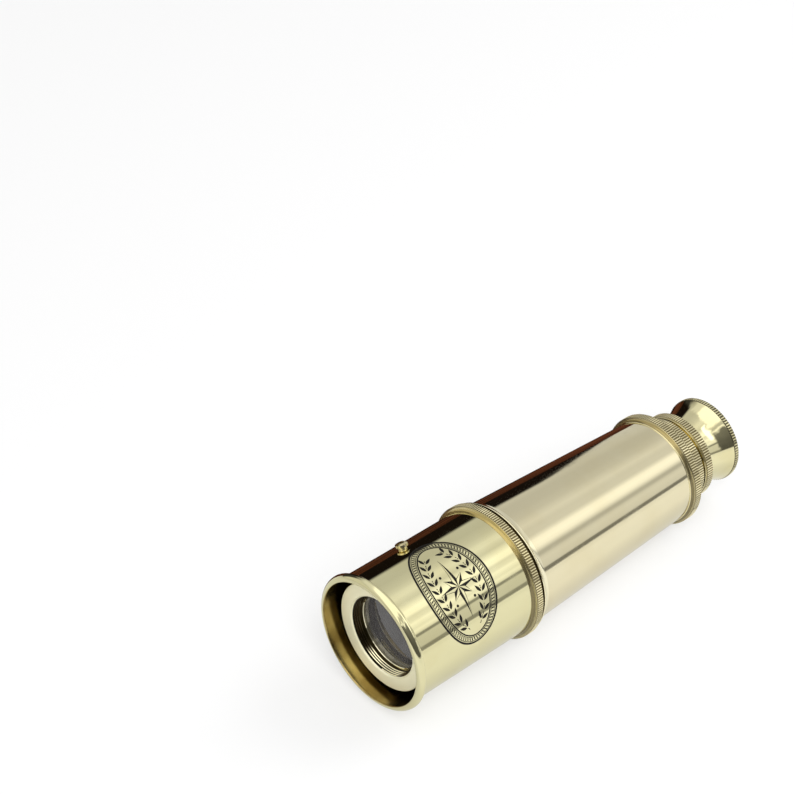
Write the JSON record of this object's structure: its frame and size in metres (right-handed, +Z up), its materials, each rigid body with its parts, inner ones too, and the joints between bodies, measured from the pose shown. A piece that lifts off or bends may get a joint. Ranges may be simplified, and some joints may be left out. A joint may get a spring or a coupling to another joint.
{
  "type": "spyglass",
  "caption": "Small hand-held brass spyglass with sliding draws, a tapered barrel, a sliding sunshade, knurled collars and a flared eyecup.",
  "frame": {"origin": "under the middle of the closed instrument, at the height of the sunshade collar's lowest point", "axes": "+X along the optical axis, towards the eyecup; +Z up as it lies; +Y to the side that the stop screw leans to"},
  "size_m": [0.14, 0.0424, 0.0424],
  "materials": {
    "tube_brass": "polished and lacquered, pale and a little worn",
    "collar_brass": "turned and knurled, warmer",
    "ring_brass": "satin turned, pale",
    "inner_brass": "turned, unpolished",
    "blackened_brass": "chemically blackened, matt",
    "optical_glass": "polished"
  },
  "bodies": {
    "barrel": {"barrel_tube": "tube_brass", "barrel_front_ring": "ring_brass", "barrel_rear_collar": "collar_brass", "barrel_draw_bush": "inner_brass", "objective_tube": "inner_brass", "objective_cell": "ring_brass", "objective_retaining_ring": "ring_brass", "objective_crown_lens": "optical_glass", "objective_flint_lens": "optical_glass"},
    "sunshade": {"sunshade_tube": "tube_brass", "sunshade_collar": "collar_brass", "sunshade_bush": "inner_brass", "sunshade_stop_screw": "ring_brass"},
    "first_draw": {"first_draw_tube": "tube_brass", "first_draw_collar": "collar_brass", "first_draw_lining": "inner_brass", "first_draw_stop_ring": "inner_brass"},
    "second_draw": {"second_draw_tube": "tube_brass", "second_draw_collar": "collar_brass", "second_draw_lining": "inner_brass", "second_draw_stop_ring": "inner_brass"},
    "third_draw": {"third_draw_tube": "tube_brass", "third_draw_stop_ring": "inner_brass", "eyecup": "tube_brass", "eyepiece_tube": "blackened_brass", "eyepiece_field_lens": "optical_glass", "eyepiece_field_stop": "blackened_brass", "eyepiece_eye_lens": "optical_glass", "eyepiece_retaining_rings": "blackened_brass", "erector_tube": "blackened_brass", "erector_front_lens": "optical_glass", "erector_rear_lens": "optical_glass", "erector_stop_disc": "blackened_brass", "erector_retaining_rings": "blackened_brass"}
  },
  "joints": [
    {"name": "sunshade_slide", "type": "slide", "parent": "barrel", "child": "sunshade", "axis": [-1, 0, 0], "range_m": [0, 0.012]},
    {"name": "first_draw_slide", "type": "slide", "parent": "barrel", "child": "first_draw", "axis": [1, 0, 0], "range_m": [0, 0.0745]},
    {"name": "second_draw_slide", "type": "slide", "parent": "first_draw", "child": "second_draw", "axis": [1, 0, 0], "range_m": [0, 0.0745]},
    {"name": "third_draw_slide", "type": "slide", "parent": "second_draw", "child": "third_draw", "axis": [1, 0, 0], "range_m": [0, 0.0745]}
  ]
}
